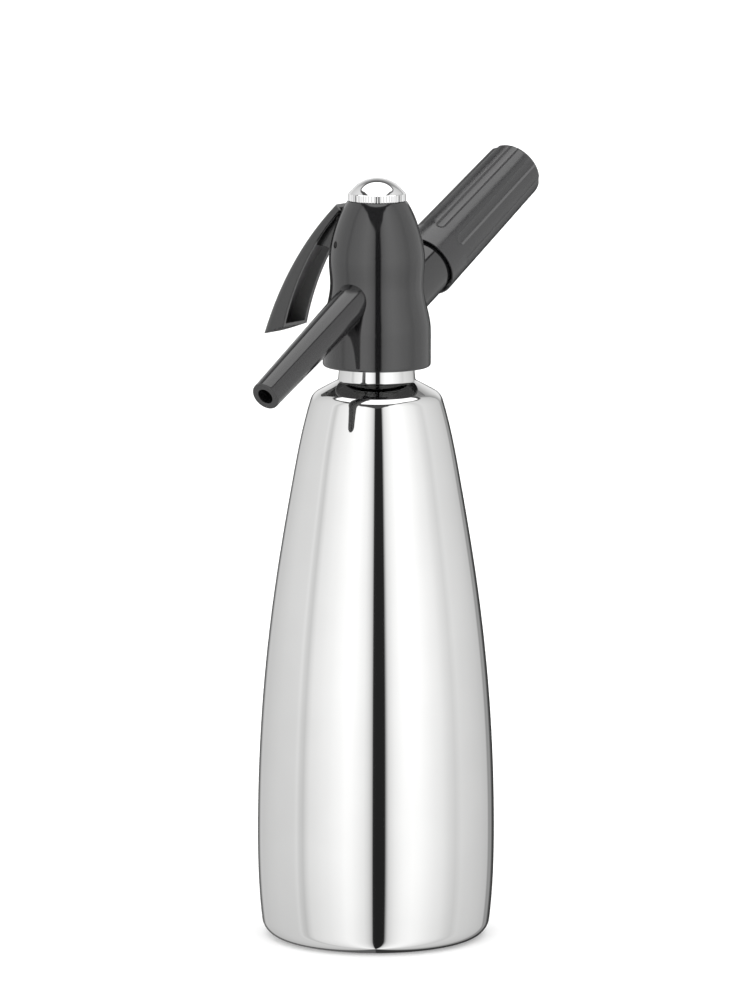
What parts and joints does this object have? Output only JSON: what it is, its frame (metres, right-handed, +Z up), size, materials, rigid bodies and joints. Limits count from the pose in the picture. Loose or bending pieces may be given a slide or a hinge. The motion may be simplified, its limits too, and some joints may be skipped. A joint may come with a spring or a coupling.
{
  "type": "soda siphon",
  "caption": "Soda siphon: a tapered polished steel bottle under a black head with a downward spout, a curved lever that opens the valve, and a sloping fluted holder for a gas charger.",
  "frame": {"origin": "centre of the bottle's flat foot ring, on the surface it stands on", "axes": "+Z up along the bottle's axis; the nozzle points to -Y and down, the charger holder to +Y and up, and the lever hangs at -X"},
  "size_m": [0.1013, 0.1881, 0.32],
  "materials": {
    "steel_polished": "mirror-polished stainless steel",
    "chrome": "bright chrome",
    "head_black": "glossy black moulding",
    "nozzle_black": "glossy black moulding",
    "lever_black": "black moulding, semi-gloss",
    "holder_black": "satin black moulding with a fine grain",
    "steel_pin": "plain steel pin",
    "steel_plain": "plain steel",
    "brass": "turned brass",
    "tube_pale": "pale food-safe plastic",
    "rubber": "black rubber"
  },
  "bodies": {
    "bottle": {"bottle": "steel_polished", "neck_ring": "steel_polished"},
    "riser": {"measuring_tube": "tube_pale", "riser_tube": "tube_pale", "head_gasket": "rubber", "riser_oring": "rubber"},
    "head": {"head_body": "head_black", "lever_pin": "steel_pin", "nozzle": "nozzle_black", "nozzle_oring": "rubber", "valve_seat": "brass", "spindle_gland": "brass", "gland_oring": "rubber", "piercing_body": "brass", "piercing_pin": "steel_plain", "charger_seal": "rubber", "gas_filter": "steel_plain", "check_valve": "rubber"},
    "spindle": {"valve_spindle": "brass", "spindle_orings": "rubber", "valve_seal": "rubber", "seal_screw": "steel_plain", "lift_nut": "brass", "spring_washer": "steel_plain", "valve_spring": "steel_plain"},
    "lever": {"lever": "lever_black"},
    "cap_seat": {"cap_gasket": "rubber"},
    "cap": {"top_cap": "chrome"},
    "cartridge": {"charger": "steel_plain"},
    "holder": {"charger_holder": "holder_black"}
  },
  "joints": [
    {"name": "head_lift", "type": "slide", "parent": "bottle", "child": "riser", "axis": [0, 0, 1], "range_m": [0, 0.009]},
    {"name": "head_turn", "type": "hinge", "parent": "riser", "child": "head", "pos_m": [0, 0, 0.237], "axis": [0, 0, 1], "range_deg": [0, 1080]},
    {"name": "lever_press", "type": "hinge", "parent": "head", "child": "lever", "pos_m": [-0.0092, 0, 0.2878], "axis": [0, -1, 0], "range_deg": [0, 12], "stiffness_Nm_per_rad": 1.5, "springref_deg": -5.73},
    {"name": "valve_lift", "type": "slide", "parent": "head", "child": "spindle", "axis": [0, 0, 1], "range_m": [0, 0.00193], "deforming": ["valve_spring"]},
    {"name": "cap_lift", "type": "slide", "parent": "head", "child": "cap_seat", "axis": [0, 0, 1], "range_m": [0, 0.006]},
    {"name": "cap_turn", "type": "hinge", "parent": "cap_seat", "child": "cap", "pos_m": [0, 0, 0.3051], "axis": [0, 0, 1], "range_deg": [0, 1440]},
    {"name": "holder_travel", "type": "slide", "parent": "head", "child": "cartridge", "axis": [0, 0.8894, 0.4571], "range_m": [0, 0.01]},
    {"name": "holder_turn", "type": "hinge", "parent": "cartridge", "child": "holder", "pos_m": [0, 0.04002, 0.27777], "axis": [0, 0.8894, 0.4571], "range_deg": [0, 1440]}
  ],
  "couplings": [
    {"joint": "head_turn", "follows": "head_lift", "rad_per_m": 2094.4},
    {"joint": "lever_press", "follows": "valve_lift", "rad_per_m": 108.7},
    {"joint": "cap_turn", "follows": "cap_lift", "rad_per_m": 4188.8},
    {"joint": "holder_turn", "follows": "holder_travel", "rad_per_m": 2513.3}
  ]
}
